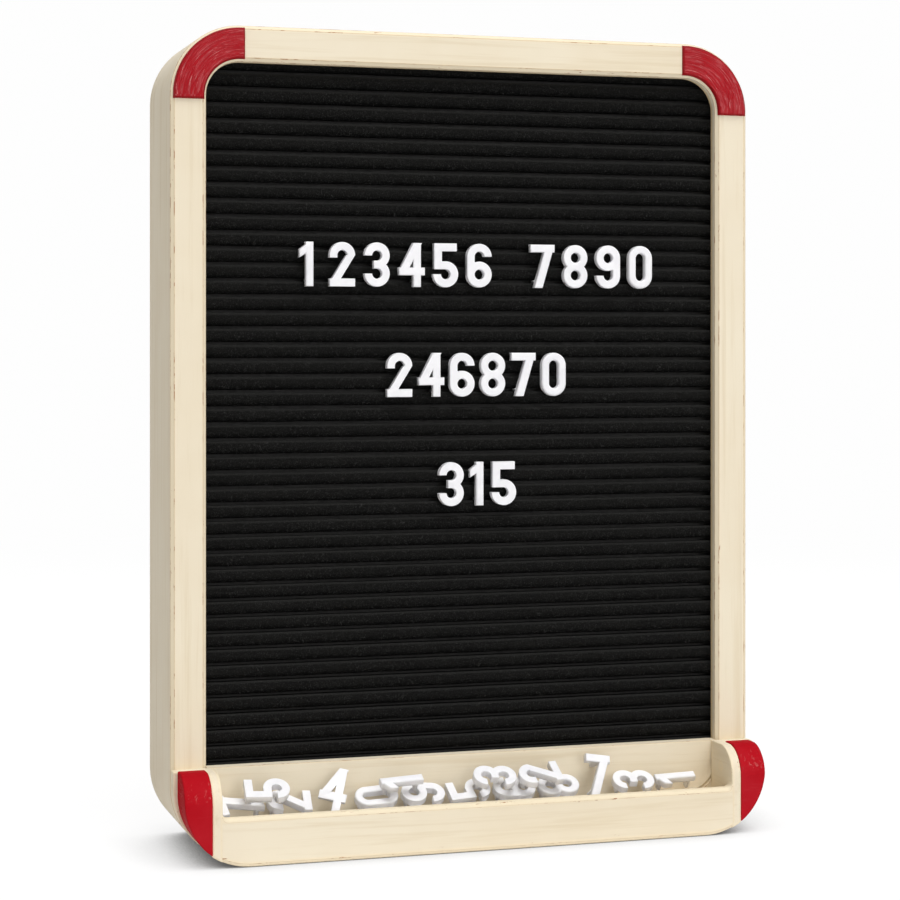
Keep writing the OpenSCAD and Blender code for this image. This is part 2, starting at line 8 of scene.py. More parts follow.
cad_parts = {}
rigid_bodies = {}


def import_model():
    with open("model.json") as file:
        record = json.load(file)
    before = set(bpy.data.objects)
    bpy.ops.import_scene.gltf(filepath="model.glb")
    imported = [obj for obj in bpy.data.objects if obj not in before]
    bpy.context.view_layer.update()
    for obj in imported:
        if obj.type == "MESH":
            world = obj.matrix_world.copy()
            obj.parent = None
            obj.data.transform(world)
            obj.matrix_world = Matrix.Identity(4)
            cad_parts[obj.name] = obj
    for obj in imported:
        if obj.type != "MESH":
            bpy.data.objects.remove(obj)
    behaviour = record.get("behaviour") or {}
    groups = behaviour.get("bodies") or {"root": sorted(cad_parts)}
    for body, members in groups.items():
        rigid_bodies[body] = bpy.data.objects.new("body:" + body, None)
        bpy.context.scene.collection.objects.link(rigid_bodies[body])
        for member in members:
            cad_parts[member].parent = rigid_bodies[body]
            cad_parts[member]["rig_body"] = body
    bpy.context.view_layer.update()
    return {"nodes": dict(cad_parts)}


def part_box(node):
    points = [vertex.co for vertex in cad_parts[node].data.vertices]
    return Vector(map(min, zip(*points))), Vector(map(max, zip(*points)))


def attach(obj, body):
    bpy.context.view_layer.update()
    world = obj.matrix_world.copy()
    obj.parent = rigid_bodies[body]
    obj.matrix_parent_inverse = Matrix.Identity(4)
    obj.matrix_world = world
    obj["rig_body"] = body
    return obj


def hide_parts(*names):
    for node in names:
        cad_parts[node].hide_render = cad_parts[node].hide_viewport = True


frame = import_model()
mm = 0.001

cameraSet = {
    "place": (-0.2772, -0.8912, 0.2017),
    "turn": 17.03,  # degrees towards the right
    "lens": 90.61,
    "shiftY": -0.1186,
}

camera = bpy.data.objects.new("photoCamera", bpy.data.cameras.new("photoCamera"))
bpy.context.collection.objects.link(camera)
camera.location = cameraSet["place"]
camera.rotation_euler = (math.radians(90), 0, -math.radians(cameraSet["turn"]))
camera.data.sensor_width = 36
camera.data.lens = cameraSet["lens"]
camera.data.shift_y = cameraSet["shiftY"]
bpy.context.scene.camera = camera


def addNode(tree, kind, inputs=None, **settings):
    node = tree.nodes.new(kind)
    for key, value in settings.items():
        setattr(node, key, value)
    for key, value in (inputs or {}).items():
        if isinstance(value, bpy.types.NodeSocket):
            tree.links.new(value, node.inputs[key])
        else:
            node.inputs[key].default_value = value
    return node


def newMaterial(name, values):
    material = bpy.data.materials.new(name)
    material.use_nodes = True
    tree = material.node_tree
    shader = tree.nodes["Principled BSDF"]
    for key, value in values.items():
        shader.inputs[key].default_value = value
    return material, tree, shader


def linear(red, green, blue):
    return tuple(
        (c / 12.92 if c <= 0.04045 else ((c + 0.055) / 1.055) ** 2.4)
        for c in (red / 255, green / 255, blue / 255)
    ) + (1.0,)


def mathNode(tree, operation, a, b=0.5):
    return addNode(tree, "ShaderNodeMath", {0: a, 1: b}, operation=operation).outputs[0]


def times(tree, a, b):
    return mathNode(tree, "MULTIPLY", a, b)


def mixColor(tree, factor, a, b, blend="MIX"):
    node = addNode(tree, "ShaderNodeMix", {0: factor, 6: a, 7: b}, data_type="RGBA", blend_type=blend)
    return node.outputs[2]


def spread(tree, value, low, high, toLow=0.0, toHigh=1.0):
    return addNode(
        tree,
        "ShaderNodeMapRange",
        {0: value, 1: low, 2: high, 3: toLow, 4: toHigh},
        interpolation_type="SMOOTHSTEP",
    ).outputs[0]


def noiseNode(tree, vector, scale, detail=3.0, roughness=0.55, distortion=0.0):
    inputs = {"Vector": vector, "Scale": scale, "Detail": detail, "Roughness": roughness}
    inputs["Distortion"] = distortion
    return addNode(tree, "ShaderNodeTexNoise", inputs).outputs[0]


def stretched(tree, vector, scale):
    return addNode(tree, "ShaderNodeVectorMath", {0: vector, 1: scale}, operation="MULTIPLY").outputs[0]


# Noise with a scale of its own along each axis
def grainNoise(tree, vector, scales, detail=3.0, roughness=0.55, distortion=0.0):
    return noiseNode(tree, stretched(tree, vector, scales), 1.0, detail, roughness, distortion)


# How far a stretched grain runs: short across, long along one axis
def grainScale(across, along, axis):
    scale = [across] * 3
    scale["xyz".index(axis)] = along
    return scale


def objectPlace(tree):
    return addNode(tree, "ShaderNodeTexCoord").outputs["Object"]


# 1 on an edge line, 0.7 on a chamfer, which gets a painted highlight, 0 on flat faces, -1 deep in the recess,
# which gets painted shade; on felt, the place across a rib, which sets the rib's painted shade and highlight
def edgeValue(tree):
    return addNode(tree, "ShaderNodeAttribute", attribute_name="edge").outputs["Fac"]


# Rays by which the surroundings are seen: straight, mirrored or through glass
def seenRays(tree):
    path = addNode(tree, "ShaderNodeLightPath")
    seen = mathNode(tree, "MAXIMUM", path.outputs["Is Camera Ray"], path.outputs["Is Glossy Ray"])
    return mathNode(tree, "MAXIMUM", seen, path.outputs["Is Transmission Ray"])


def addBump(tree, shader, height, strength, distance):
    bump = addNode(tree, "ShaderNodeBump", {"Strength": strength, "Distance": distance, "Height": height})
    tree.links.new(bump.outputs[0], shader.inputs["Normal"])


floorSet = {
    "size": 12.0,
    "color": linear(242, 242, 243),
    "cloudScale": 3.0,
    "cloudBand": (0.2, 0.8, 0.985, 1.0),  # of the noise, and the floor's tones at both ends
    "glow": 0.85,  # share of plain white that the camera sees near the board
    "white": 1.07,  # its strength near the board and far off
    "farWhite": 0.99,
    "fade": (0.5, 1.4),  # distance over which the floor turns into the plain background
    "shadowReach": 0.044,
    "shadow": 1.6,
    "shadowPower": 2.6,  # a higher one keeps the shadow closer to the board
    "darkest": 0.08,
    "samples": 8,
}


def makeFloor():
    mesh = bpy.data.meshes.new("studioFloor")
    half = floorSet["size"] / 2
    corners = [(-half, -half, 0), (half, -half, 0), (half, half, 0), (-half, half, 0)]
    mesh.from_pydata(corners, [], [(0, 1, 2, 3)])
    floor = bpy.data.objects.new("studioFloor", mesh)
    bpy.context.collection.objects.link(floor)
    material, tree, shader = newMaterial("studioFloorPaper", {"Roughness": 0.5, "Specular IOR Level": 0.3})
    place = objectPlace(tree)
    tone = spread(tree, noiseNode(tree, place, floorSet["cloudScale"]), *floorSet["cloudBand"])
    paper = addNode(tree, "ShaderNodeVectorMath", {0: floorSet["color"][:3], 1: tone}, operation="MULTIPLY")
    tree.links.new(paper.outputs[0], shader.inputs["Base Color"])
    seen = seenRays(tree)
    away = addNode(tree, "ShaderNodeVectorMath", {0: place}, operation="LENGTH").outputs[1]
    share = times(tree, seen, spread(tree, away, *floorSet["fade"], floorSet["glow"], 1.0))
    white = spread(tree, away, *floorSet["fade"], floorSet["white"], floorSet["farWhite"])
    # soft contact shadow: the floor darkens where little of the surroundings reaches it
    inputs = {"Distance": floorSet["shadowReach"]}
    around = addNode(tree, "ShaderNodeAmbientOcclusion", inputs, samples=floorSet["samples"])
    closed = mathNode(tree, "SUBTRACT", 1.0, around.outputs["AO"])
    closed = mathNode(tree, "POWER", closed, floorSet["shadowPower"])
    lit = mathNode(tree, "SUBTRACT", 1.0, times(tree, closed, floorSet["shadow"]))
    white = times(tree, white, mathNode(tree, "MAXIMUM", lit, floorSet["darkest"]))
    glow = addNode(tree, "ShaderNodeEmission", {"Color": (1, 1, 1, 1), "Strength": white})
    mixed = addNode(tree, "ShaderNodeMixShader", {0: share, 1: shader.outputs[0], 2: glow.outputs[0]})
    tree.links.new(mixed.outputs[0], tree.nodes["Material Output"].inputs["Surface"])
    floor.data.materials.append(material)


lightSet = {
    "front": 0.468,  # strength of the surrounding light before the board, and behind it
    "rear": 0.10,
    "key": {"place": (0.9, -3.2, 1.1), "size": 1.5, "power": 19.5},
    "top": {"place": (0.5, -2.0, 4.4), "size": 2.4, "power": 102.0},
    "over": {"place": (-0.15, -0.6, 4.6), "size": 2.4, "power": 59.5},
    "aim": (0, 0, 0.15),
    "lampColor": (0.98, 0.985, 1.0),
    "roundColor": (1.0, 0.965, 0.9, 1.0),  # of the surrounding light, for diffuse rays only
    "seen": 0.99,  # strength of the white background where it is seen
}


def makeLights():
    world = bpy.data.worlds.new("studioWorld")
    bpy.context.scene.world = world
    world.use_nodes = True
    tree = world.node_tree
    seen = seenRays(tree)
    direction = addNode(tree, "ShaderNodeTexCoord").outputs["Generated"]
    depth = addNode(tree, "ShaderNodeSeparateXYZ", {0: direction})
    around = addNode(
        tree,
        "ShaderNodeMapRange",
        {0: depth.outputs[1], 1: -1.0, 2: 1.0, 3: lightSet["front"], 4: lightSet["rear"]},
    ).outputs[0]
    inputs = {0: seen, 2: around, 3: lightSet["seen"]}
    strength = addNode(tree, "ShaderNodeMix", inputs, data_type="FLOAT").outputs[0]
    background = tree.nodes["Background"]
    tint = mixColor(tree, seen, lightSet["roundColor"], (1, 1, 1, 1))
    tree.links.new(tint, background.inputs["Color"])
    tree.links.new(strength, background.inputs["Strength"])
    for name in ("key", "top", "over"):
        values = lightSet[name]
        data = bpy.data.lights.new(name + "Softbox", "AREA")
        data.shape = "SQUARE"
        data.size = values["size"]
        data.energy = values["power"]
        data.color = lightSet["lampColor"]
        lamp = bpy.data.objects.new(name + "Softbox", data)
        bpy.context.collection.objects.link(lamp)
        lamp.location = values["place"]
        aim = Vector(lightSet["aim"]) - Vector(values["place"])
        lamp.rotation_euler = aim.to_track_quat("-Z", "Y").to_euler()


makeFloor()
makeLights()
bpy.context.scene.view_settings.view_transform = "Standard"
print("camera, floor and lights are set")

creamSet = {
    "face": linear(242, 231, 208),
    "warm": linear(238, 225, 200),
    "streak": linear(229, 214, 185),
    "worn": linear(160, 98, 44),
    # painted highlight on chamfers and rounded edges, a little warmer than the face
    "edgeHighlight": linear(244, 229, 198),
    "line": linear(184, 144, 96),
    "inside": linear(224, 200, 156),  # painted shade, darker and warmer deep in the recess
    "grain": (260.0, 9.0),  # noise scale across and along the grain, per metre
    "fineGrain": 4,  # so many times finer
    "dash": (1100.0, 210.0),
    "chipScale": 0.8,  # as a share of the dashes' scale
    "cloudScale": 16.0,
    "patchScale": 34.0,
    "lineShare": 0.4,
    "wearShare": 0.85,
    "relief": {"grain": 0.6, "fine": 0.25, "wear": 0.6},
    "bump": (0.35, 0.0002),  # strength, then height in metres
}

# Where on a noise or on the edge value an effect starts and is full; where four are given, its shares there
creamBands = {
    "cloud": (0.35, 0.7),
    "grain": (0.5, 0.72, 0.0, 0.75),
    "fine": (0.58, 0.76, 0.0, 0.3),
    # painted shade deep in the recess
    "inside": (0.0, -0.9),
    "edgeHighlight": (0.4, 0.7, 0.0, 0.6),
    "ridge": (0.88, 1.0),
    "dash": (0.52, 0.58),
    "dashPatch": (0.44, 0.56),
    "chip": (0.66, 0.7),
    "chipEdge": (0.15, 0.6),
    "chipPatch": (0.4, 0.55),
    "roughness": (0.3, 0.8, 0.42, 0.56),
}


def creamPaint(name, grainAxis):
    s, bands = creamSet, creamBands
    material, tree, shader = newMaterial(name, {"Roughness": 0.55, "Specular IOR Level": 0.03})
    place = objectPlace(tree)
    along = grainScale(*s["grain"], grainAxis)
    grain = grainNoise(tree, place, along, detail=5.0, roughness=0.62, distortion=0.4)
    fine = grainNoise(tree, place, [s["fineGrain"] * v for v in along], detail=2.0, roughness=0.6)
    cloud = noiseNode(tree, place, s["cloudScale"])
    color = mixColor(tree, spread(tree, cloud, *bands["cloud"]), s["face"], s["warm"])
    color = mixColor(tree, spread(tree, grain, *bands["grain"]), color, s["streak"])
    color = mixColor(tree, spread(tree, fine, *bands["fine"]), color, s["streak"])
    edge = edgeValue(tree)
    # painted shade: darker, warmer paint deep in the recess
    color = mixColor(tree, spread(tree, edge, *bands["inside"]), color, s["inside"])
    # painted highlight on the chamfers and rounded edges
    color = mixColor(tree, spread(tree, edge, *bands["edgeHighlight"]), color, s["edgeHighlight"])
    # the paint has rubbed off in short dashes along the edge lines, more in some places than in others
    dashAlong = grainScale(*s["dash"], grainAxis)
    dash = grainNoise(tree, place, dashAlong, roughness=0.65)
    patch = noiseNode(tree, place, s["patchScale"], roughness=0.6)
    ridge = spread(tree, edge, *bands["ridge"])
    color = mixColor(tree, times(tree, ridge, s["lineShare"]), color, s["line"])
    dashed = spread(tree, dash, *bands["dash"])
    rubbed = times(tree, times(tree, dashed, spread(tree, patch, *bands["dashPatch"])), ridge)
    chips = grainNoise(tree, place, [v * s["chipScale"] for v in dashAlong], roughness=0.7)
    chipped = times(tree, spread(tree, chips, *bands["chip"]), spread(tree, edge, *bands["chipEdge"]))
    chipped = times(tree, chipped, spread(tree, patch, *bands["chipPatch"]))
    wear = mathNode(tree, "MAXIMUM", rubbed, chipped)
    color = mixColor(tree, times(tree, wear, s["wearShare"]), color, s["worn"])
    tree.links.new(color, shader.inputs["Base Color"])
    tree.links.new(spread(tree, grain, *bands["roughness"]), shader.inputs["Roughness"])
    relief = s["relief"]
    height = mathNode(tree, "ADD", times(tree, grain, relief["grain"]), times(tree, fine, relief["fine"]))
    height = mathNode(tree, "SUBTRACT", height, times(tree, wear, relief["wear"]))
    addBump(tree, shader, height, *s["bump"])
    return material


redSet = {
    "base": linear(172, 8, 24),
    "ruddy": linear(178, 18, 31),
    "block": linear(177, 20, 31),
    "blockRuddy": linear(182, 32, 42),
    # painted shade on the inlay's rounded rim
    "rimShade": linear(152, 0, 12),
    # painted sheen on brush strokes
    "brushSheen": linear(186, 66, 72),
    # painted glint and sheen colour
    "shine": linear(222, 140, 138),
    "ringScale": 900.0,  # brush strokes across the inlay's arc, per metre
    "stroke": (1.1, 1.7, 1.0),  # across the arc, along it
    "thin": (3.2, 2.6, 1.0),
    "cloudScale": 70.0,
    "glintShare": 0.8,
    "bump": (0.9, 0.0006),
    "blockCloudScale": 45.0,
    "blockBrush": (90.0, 90.0, 700.0),
    "nickScale": 420.0,
    # nicks along the block's edges take the painted glint colour
    "nickSheenShare": 0.25,
    "scratchSheen": (520.0, 90.0, 300.0),
    "scratchSheenBand": (0.025, 0.0275, 0.0325, 0.034),  # heights on the nose of an end block, where the scratches carry a painted highlight
    "scratchSheenShare": 0.32,
    "blockBump": (0.06, 0.0002),
}

redBands = {
    "cloud": (0.3, 0.7),
    "stroke": (0.47, 0.62, 0.0, 0.85),
    "glint": (0.53, 0.62),
    "glintStroke": (0.5, 0.62),
    "rim": (0.12, 0.4),
    "roughness": (0.3, 0.7, 0.24, 0.4),
    "blockCloud": (0.3, 0.75),
    "blockBrush": (0.55, 0.8, 0.0, 0.25),
    "nickSheen": (0.7, 0.76),
    "nickEdge": (0.7, 0.95),
    "scratchSheen": (0.57, 0.68),
    "blockRoughness": (0.3, 0.8, 0.24, 0.42),
}


def redInlayPaint(name, centre):
    s, bands = redSet, redBands
    material, tree, shader = newMaterial(name, {"Roughness": 0.3, "Specular IOR Level": 0.16})
    place = objectPlace(tree)
    offset = addNode(tree, "ShaderNodeVectorMath", {0: place, 1: centre}, operation="SUBTRACT").outputs[0]
    parts = addNode(tree, "ShaderNodeSeparateXYZ", {0: offset})
    squares = [mathNode(tree, "POWER", parts.outputs[i], 2.0) for i in (0, 2)]
    radius = mathNode(tree, "SQRT", mathNode(tree, "ADD", *squares))
    angle = mathNode(tree, "ARCTAN2", parts.outputs[2], parts.outputs[0])
    ring = times(tree, radius, s["ringScale"])
    polar = addNode(tree, "ShaderNodeCombineXYZ", {0: ring, 1: angle}).outputs[0]
    strokes = grainNoise(tree, polar, s["stroke"], detail=5.0, roughness=0.68, distortion=1.2)
    thin = grainNoise(tree, polar, s["thin"], roughness=0.6, distortion=0.5)
    cloud = noiseNode(tree, place, s["cloudScale"], detail=2.0)
    color = mixColor(tree, spread(tree, cloud, *bands["cloud"]), s["base"], s["ruddy"])
    # painted sheen on the brush strokes
    color = mixColor(tree, spread(tree, strokes, *bands["stroke"]), color, s["brushSheen"])
    # painted glints along thin strokes
    glint = times(tree, spread(tree, thin, *bands["glint"]), spread(tree, strokes, *bands["glintStroke"]))
    color = mixColor(tree, times(tree, glint, s["glintShare"]), color, s["shine"])
    edge = edgeValue(tree)
    # painted shade: darker red on the rounded rim
    color = mixColor(tree, spread(tree, edge, *bands["rim"]), color, s["rimShade"])
    tree.links.new(color, shader.inputs["Base Color"])
    tree.links.new(spread(tree, strokes, *bands["roughness"]), shader.inputs["Roughness"])
    addBump(tree, shader, mathNode(tree, "ADD", strokes, thin), *s["bump"])
    return material


def redBlockPaint(name):
    s, bands = redSet, redBands
    # hardly any specular level: the white surroundings whiten the block's narrow side otherwise
    material, tree, shader = newMaterial(name, {"Roughness": 0.36, "Specular IOR Level": 0.001})
    place = objectPlace(tree)
    cloud = noiseNode(tree, place, s["blockCloudScale"])
    brush = grainNoise(tree, place, s["blockBrush"], detail=4.0, roughness=0.6)
    color = mixColor(tree, spread(tree, cloud, *bands["blockCloud"]), s["block"], s["blockRuddy"])
    # painted sheen on the block's brush marks
    color = mixColor(tree, spread(tree, brush, *bands["blockBrush"]), color, s["brushSheen"])
    edge = edgeValue(tree)
    # nicks along the edges, coloured with a painted sheen
    nickSheen = spread(tree, noiseNode(tree, place, s["nickScale"], roughness=0.7), *bands["nickSheen"])
    worn = times(tree, nickSheen, spread(tree, edge, *bands["nickEdge"]))
    color = mixColor(tree, times(tree, worn, s["nickSheenShare"]), color, s["shine"])
    # scratches on the nose's upper bend, coloured as a painted highlight
    scratchSheen = grainNoise(tree, place, s["scratchSheen"], detail=4.0, roughness=0.75, distortion=1.2)
    scratchSheen = spread(tree, scratchSheen, *bands["scratchSheen"])
    height = addNode(tree, "ShaderNodeSeparateXYZ", {0: place}).outputs[2]
    low1, low2, high1, high2 = s["scratchSheenBand"]
    above, below = spread(tree, height, low1, low2), spread(tree, height, high1, high2, 1.0, 0.0)
    scratchSheen = times(tree, scratchSheen, times(tree, above, below))
    color = mixColor(tree, times(tree, scratchSheen, s["scratchSheenShare"]), color, s["shine"])
    tree.links.new(color, shader.inputs["Base Color"])
    tree.links.new(spread(tree, brush, *bands["blockRoughness"]), shader.inputs["Roughness"])
    addBump(tree, shader, mathNode(tree, "ADD", brush, worn), *s["blockBump"])
    return material


feltSet = {
    "base": linear(24, 24, 23),
    "fibre": linear(70, 70, 69),
    "dark": linear(19, 19, 19),
    # painted shade on the lower part of each rib, also used for pits in the fuzz
    "underShade": linear(5, 5, 5),
    # painted highlight near the upper edge of each rib
    "lit": linear(40, 40, 39),
    "swirlScale": 190.0,
    "swirl": 0.012,  # how far the fibres wander
    "fibreScales": ((700.0, 900.0, 2600.0), (2400.0, 900.0, 800.0)),
    "fibreShare": 0.6,
    "fibreRelief": 0.7,
    "fuzzScale": 2400.0,
    "cloudScale": 60.0,
    "bump": (0.8, 0.0002),
}

feltBands = {
    "fibre": (0.58, 0.76),
    "cloud": (0.25, 0.75, 0.0, 0.6),
    "underShade": (0.55, 0.0),  # painted shade, from a rib's middle down to its lower edge
    "lit": (0.76, 0.97),  # painted highlight near its upper edge
    "fuzz": (0.55, 0.75, 0.0, 0.6),
    "pit": (0.45, 0.28, 0.0, 0.6),
}


def feltCloth(name):
    s, bands = feltSet, feltBands
    material, tree, shader = newMaterial(name, {"Roughness": 1.0, "Specular IOR Level": 0.0})
    place = objectPlace(tree)
    inputs = {"Vector": place, "Scale": s["swirlScale"], "Detail": 2.0}
    swirl = addNode(tree, "ShaderNodeTexNoise", inputs).outputs["Color"]
    bent = stretched(tree, swirl, [s["swirl"]] * 3)
    bent = addNode(tree, "ShaderNodeVectorMath", {0: place, 1: bent}, operation="ADD").outputs[0]
    fibres = [
        spread(tree, grainNoise(tree, bent, scales, roughness=0.6), *bands["fibre"])
        for scales in s["fibreScales"]
    ]
    fuzz = noiseNode(tree, place, s["fuzzScale"], detail=2.0, roughness=0.7)
    cloud = noiseNode(tree, place, s["cloudScale"])
    across = edgeValue(tree)
    color = mixColor(tree, spread(tree, cloud, *bands["cloud"]), s["base"], s["dark"])
    # painted shade on the lower half of each rib, and a painted highlight near its upper edge
    color = mixColor(tree, spread(tree, across, *bands["underShade"]), color, s["underShade"])
    color = mixColor(tree, spread(tree, across, *bands["lit"]), color, s["lit"])
    threads = mathNode(tree, "MAXIMUM", *fibres)
    color = mixColor(tree, times(tree, threads, s["fibreShare"]), color, s["fibre"])
    color = mixColor(tree, spread(tree, fuzz, *bands["fuzz"]), color, s["fibre"])
    color = mixColor(tree, spread(tree, fuzz, *bands["pit"]), color, s["underShade"])
    tree.links.new(color, shader.inputs["Base Color"])
    height = mathNode(tree, "ADD", times(tree, threads, s["fibreRelief"]), fuzz)
    addBump(tree, shader, height, *s["bump"])
    return material


plasticSet = {
    "base": linear(247, 247, 250),
    "shade": linear(239, 239, 243),
    "cloudScale": 140.0,
    "cloudBand": (0.3, 0.75),
    "roughness": (0.33, 0.46),
    "pitScale": 900.0,
    "bump": (0.12, 0.0002),
}


def whitePlastic(name):
    s = plasticSet
    material, tree, shader = newMaterial(
        name,
        {
            "Roughness": 0.38,
            "Subsurface Weight": 0.12,
            "Subsurface Scale": 0.002,
            "Subsurface Radius": (1.0, 0.95, 1.0),
        },
    )
    place = objectPlace(tree)
    cloud = noiseNode(tree, place, s["cloudScale"])
    color = mixColor(tree, spread(tree, cloud, *s["cloudBand"]), s["base"], s["shade"])
    tree.links.new(color, shader.inputs["Base Color"])
    tree.links.new(spread(tree, cloud, *s["cloudBand"], *s["roughness"]), shader.inputs["Roughness"])
    addBump(tree, shader, noiseNode(tree, place, s["pitScale"], detail=2.0), *s["bump"])
    return material


woodSet = {
    "grain": (420.0, 14.0),
    "poreScale": 3,  # so many times finer than the rings
    "ringBand": (0.35, 0.7),
    "poreBand": (0.6, 0.7, 0.0, 0.5),
    "roughness": (0.3, 0.7, 0.55, 0.72),
    "bump": (0.4, 0.0002),
}


def plainWood(name, grainAxis, light, dark):
    s = woodSet
    material, tree, shader = newMaterial(name, {"Roughness": 0.62, "Specular IOR Level": 0.35})
    place = objectPlace(tree)
    along = grainScale(*s["grain"], grainAxis)
    rings = grainNoise(tree, place, along, detail=5.0, roughness=0.6, distortion=0.8)
    pores = grainNoise(tree, place, [v * s["poreScale"] for v in along], detail=2.0, roughness=0.7)
    color = mixColor(tree, spread(tree, rings, *s["ringBand"]), light, dark)
    color = mixColor(tree, spread(tree, pores, *s["poreBand"]), color, dark)
    tree.links.new(color, shader.inputs["Base Color"])
    tree.links.new(spread(tree, rings, *s["roughness"]), shader.inputs["Roughness"])
    addBump(tree, shader, rings, *s["bump"])
    return material


hardboardSet = {
    "chips": (600.0, 600.0, 900.0),
    "chipBand": (0.48, 0.72, 0.0, 0.75),
    "cloudScale": 40.0,
    "cloudBand": (0.3, 0.7, 0.0, 0.3),
    "roughness": (0.3, 0.7, 0.42, 0.62),
    "bump": (0.25, 0.0002),
}


def hardboard(name, light, dark):
    s = hardboardSet
    material, tree, shader = newMaterial(name, {"Roughness": 0.5, "Specular IOR Level": 0.4})
    place = objectPlace(tree)
    chips = grainNoise(tree, place, s["chips"], detail=4.0, roughness=0.75, distortion=0.5)
    cloud = noiseNode(tree, place, s["cloudScale"], detail=4.0)
    color = mixColor(tree, spread(tree, cloud, *s["cloudBand"]), light, dark)
    color = mixColor(tree, spread(tree, chips, *s["chipBand"]), color, dark)
    tree.links.new(color, shader.inputs["Base Color"])
    tree.links.new(spread(tree, chips, *s["roughness"]), shader.inputs["Roughness"])
    addBump(tree, shader, chips, *s["bump"])
    return material


zincSet = {
    "base": linear(190, 190, 186),
    "drawn": linear(150, 150, 146),
    "spangleScale": 480.0,
    "spangleShare": 0.08,
    "lines": (1500.0, 1500.0, 60.0),
    "lineBand": (0.45, 0.7, 0.0, 0.35),
    "roughness": (0.3, 0.7, 0.26, 0.44),
    "bump": (0.15, 0.0001),
}


def zincSteel(name):
    s = zincSet
    material, tree, shader = newMaterial(name, {"Metallic": 1.0, "Roughness": 0.34})
    place = objectPlace(tree)
    inputs = {"Vector": place, "Scale": s["spangleScale"]}
    spangle = addNode(tree, "ShaderNodeTexVoronoi", inputs).outputs["Color"]
    lines = grainNoise(tree, place, s["lines"])
    color = mixColor(tree, s["spangleShare"], s["base"], spangle, "OVERLAY")
    color = mixColor(tree, spread(tree, lines, *s["lineBand"]), color, s["drawn"])
    tree.links.new(color, shader.inputs["Base Color"])
    tree.links.new(spread(tree, lines, *s["roughness"]), shader.inputs["Roughness"])
    addBump(tree, shader, lines, *s["bump"])
    return material


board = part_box("left_stile")
faceY = board[0].y
boardHalf = -board[0].x
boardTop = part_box("top_rail")[1].z
cornerRadius = 28 * mm
cornerCentre = (boardHalf - cornerRadius, boardTop - cornerRadius)

finish = {
    "creamStile": creamPaint("creamPaintUpright", "z"),
    "creamRail": creamPaint("creamPaintLevel", "x"),
    "creamDepth": creamPaint("creamPaintDepth", "y"),
    "redLeft": redInlayPaint("redInlayPaintLeft", (-cornerCentre[0], 0.0, cornerCentre[1])),
    "redRight": redInlayPaint("redInlayPaintRight", (cornerCentre[0], 0.0, cornerCentre[1])),
    "redBlock": redBlockPaint("redBlockPaint"),
    "felt": feltCloth("blackFelt"),
    "plastic": whitePlastic("whiteDigitPlastic"),
    "slatWood": plainWood("slatWood", "x", linear(214, 184, 140), linear(176, 138, 92)),
    "battenWood": plainWood("battenWood", "z", linear(216, 188, 146), linear(180, 144, 98)),
    "darkBoard": hardboard("darkGrooveBoard", linear(34, 31, 28), linear(18, 16, 14)),
    "backBoard": hardboard("brownBackBoard", linear(150, 112, 76), linear(112, 80, 52)),
    "zinc": zincSteel("zincSteel"),
}
print("finishes are ready")


def newPiece(name, bm, material, nodes, bodyName, sharpAngle=42):
    mesh = bpy.data.meshes.new(name)
    bm.to_mesh(mesh)
    bm.free()
    mesh.shade_smooth()
    mesh.set_sharp_from_angle(angle=math.radians(sharpAngle))
    piece = bpy.data.objects.new(name, mesh)
    bpy.context.collection.objects.link(piece)
    mesh.materials.append(finish[material])
    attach(piece, bodyName)
    if nodes:
        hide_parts(*nodes)
    return piece


def weighNormals(piece):
    modifier = piece.modifiers.new("evenNormals", "WEIGHTED_NORMAL")
    modifier.keep_sharp = True
    modifier.weight = 70


cleanSet = {"weld": 0.01, "flat": math.radians(0.6), "sampleStep": 0.4}  # in millimetres, but for the angle


# Copies of nodes are worked on in millimetres about their middle, where small faces keep their precision
def cleanCopy(nodeName):
    low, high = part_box(nodeName)
    middle = (low + high) / 2
    bm = bmesh.new()
    bm.from_mesh(frame["nodes"][nodeName].data)
    for layer in list(bm.loops.layers.uv):
        bm.loops.layers.uv.remove(layer)
    for vert in bm.verts:
        vert.co = (vert.co - middle) / mm
    bmesh.ops.remove_doubles(bm, verts=bm.verts, dist=cleanSet["weld"])
    bmesh.ops.dissolve_limit(
        bm,
        angle_limit=cleanSet["flat"],
        verts=bm.verts,
        edges=bm.edges,
        use_dissolve_boundaries=False,
    )
    return bm, middle


def putBack(bm, middle):
    bm.normal_update()
    bmesh.ops.triangulate(bm, faces=[f for f in bm.faces if len(f.verts) > 4])
    for vert in bm.verts:
        vert.co = vert.co * mm + middle


def roundEdges(bm, edges, width, segments, support):
    layer = bm.verts.layers.float.new("edge")
    made = bmesh.ops.bevel(
        bm,
        geom=edges,
        offset=width,
        offset_type="OFFSET",
        segments=segments,
        profile=0.5,
        affect="EDGES",
        clamp_overlap=True,
    )
    rounded = set(made["faces"])
    for face in rounded:
        for vert in face.verts:
            vert[layer] = 1.0
    if support:
        flat = [face for face in bm.faces if face not in rounded]
        ring = bmesh.ops.inset_region(
            bm, faces=flat, thickness=support, use_even_offset=True, use_boundary=True
        )
        ringFaces = set(ring["faces"])
        for face in bm.faces:
            if face not in rounded and face not in ringFaces:
                for vert in face.verts:
                    vert[layer] = 0.0


def sharpEdges(bm, angle=30):
    limit = math.radians(angle)
    return [e for e in bm.edges if len(e.link_faces) == 2 and e.calc_face_angle(0.0) > limit]


def dressNode(nodeName, material, width, keepEdge=None, segments=3, support=0.9):
    bm, middle = cleanCopy(nodeName)
    edges = []
    for edge in sharpEdges(bm):
        place = (edge.verts[0].co + edge.verts[1].co) / 2 * mm + middle
        if keepEdge is None or keepEdge(place):
            edges.append(edge)
    roundEdges(bm, edges, width, segments, support)
    putBack(bm, middle)
    body = frame["nodes"][nodeName]["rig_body"]
    piece = newPiece(nodeName + "_finished", bm, material, [nodeName], body)
    weighNormals(piece)
    return piece


